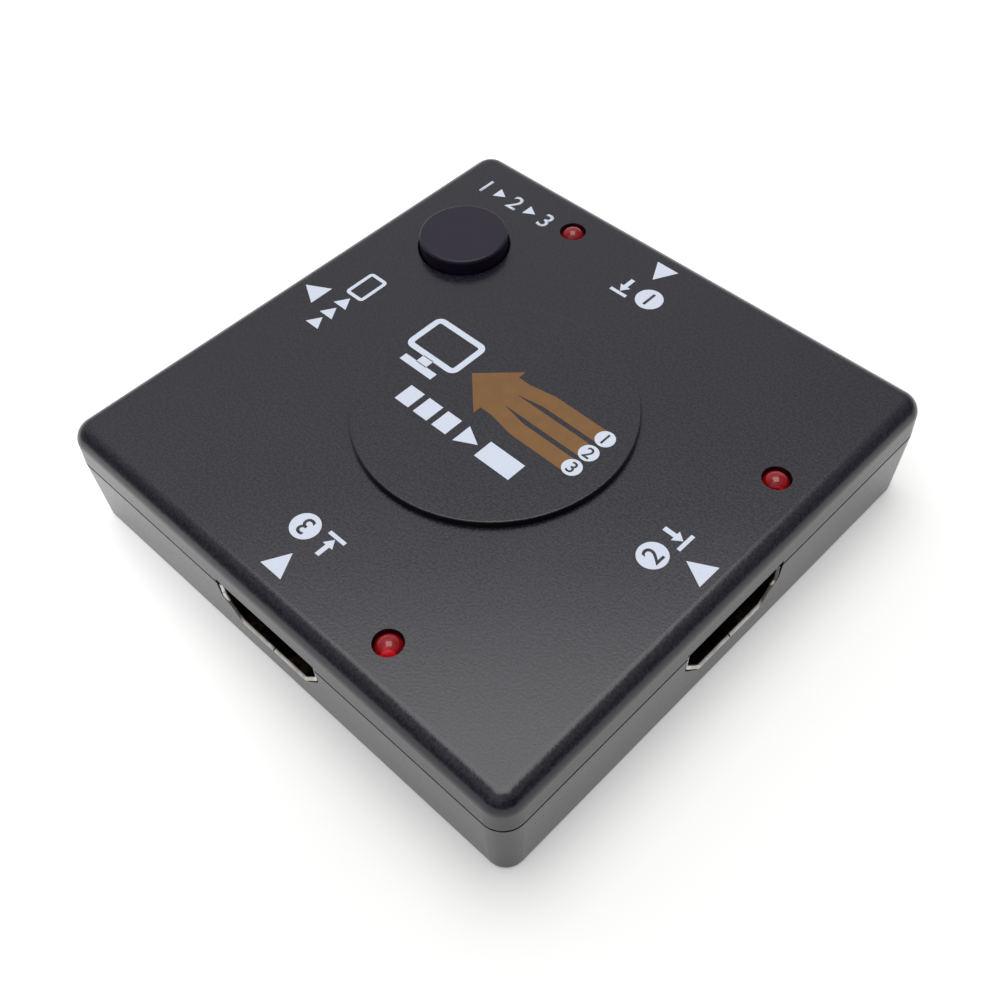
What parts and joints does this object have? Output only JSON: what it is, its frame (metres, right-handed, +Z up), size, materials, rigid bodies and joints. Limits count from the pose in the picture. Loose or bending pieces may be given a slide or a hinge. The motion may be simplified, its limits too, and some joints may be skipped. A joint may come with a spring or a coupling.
{
  "type": "video switch box",
  "caption": "Low square box in two rounded half shells with a video socket in each side, a round select button, small indicator lights and a raised disc on the top.",
  "frame": {"origin": "centre of the flat underside", "axes": "+Z up through the top; +X towards the socket of input 2, +Y towards the socket of input 1"},
  "size_m": [0.065, 0.065, 0.0158],
  "materials": {
    "case_plastic": "moulded charcoal plastic, fine spark texture",
    "button_plastic": "smooth dark moulded plastic, satin",
    "screw_steel": "black zinc plated",
    "board_laminate": "green solder mask over glass laminate",
    "switch_plastic": "black moulded plastic",
    "switch_metal": "bright spring sheet",
    "plunger_plastic": "black moulded plastic",
    "tinned_metal": "tin plated",
    "chip_epoxy": "matt black epoxy",
    "resistor_ceramic": "dark glazed film on ceramic",
    "capacitor_ceramic": "tan ceramic",
    "socket_metal": "bright nickel plated sheet",
    "socket_plastic": "black glass filled plastic",
    "contact_gold": "gold flash",
    "print_white": "pale pad-printed ink",
    "print_gold": "bronze-gold pad-printed ink",
    "light_resin": "red tinted clear epoxy"
  },
  "bodies": {
    "case": {"bottom_shell": "case_plastic", "case_screws": "screw_steel", "chip_capacitors": "capacitor_ceramic", "chip_resistors": "resistor_ceramic", "circuit_board": "board_laminate", "in_1_light": "light_resin", "in_1_light_leads": "tinned_metal", "in_1_socket_contacts": "contact_gold", "in_1_socket_insulator": "socket_plastic", "in_1_socket_shell": "socket_metal", "in_2_light": "light_resin", "in_2_light_leads": "tinned_metal", "in_2_socket_contacts": "contact_gold", "in_2_socket_insulator": "socket_plastic", "in_2_socket_shell": "socket_metal", "in_3_light": "light_resin", "in_3_light_leads": "tinned_metal", "in_3_socket_contacts": "contact_gold", "in_3_socket_insulator": "socket_plastic", "in_3_socket_shell": "socket_metal", "logic_chip": "chip_epoxy", "logic_chip_pins": "tinned_metal", "out_socket_contacts": "contact_gold", "out_socket_insulator": "socket_plastic", "out_socket_shell": "socket_metal", "power_diode_leads": "tinned_metal", "power_diodes": "chip_epoxy", "regulator": "chip_epoxy", "regulator_leads": "tinned_metal", "switch_base": "switch_plastic", "switch_chip": "chip_epoxy", "switch_chip_pins": "tinned_metal", "switch_cover": "switch_metal", "switch_dome": "switch_metal", "switch_legs": "tinned_metal", "top_shell": "case_plastic"},
    "select_button": {"select_button": "button_plastic"},
    "switch_plunger": {"switch_plunger": "plunger_plastic"}
  },
  "joints": [
    {"name": "button_press", "type": "slide", "parent": "case", "child": "select_button", "axis": [0, 0, -1], "range_m": [0, 0.0003], "stiffness_N_per_m": 5000},
    {"name": "plunger_press", "type": "slide", "parent": "case", "child": "switch_plunger", "axis": [0, 0, -1], "range_m": [0, 0.0003], "deforming": ["switch_dome"]}
  ],
  "couplings": [
    {"joint": "plunger_press", "follows": "button_press", "ratio": 1}
  ]
}
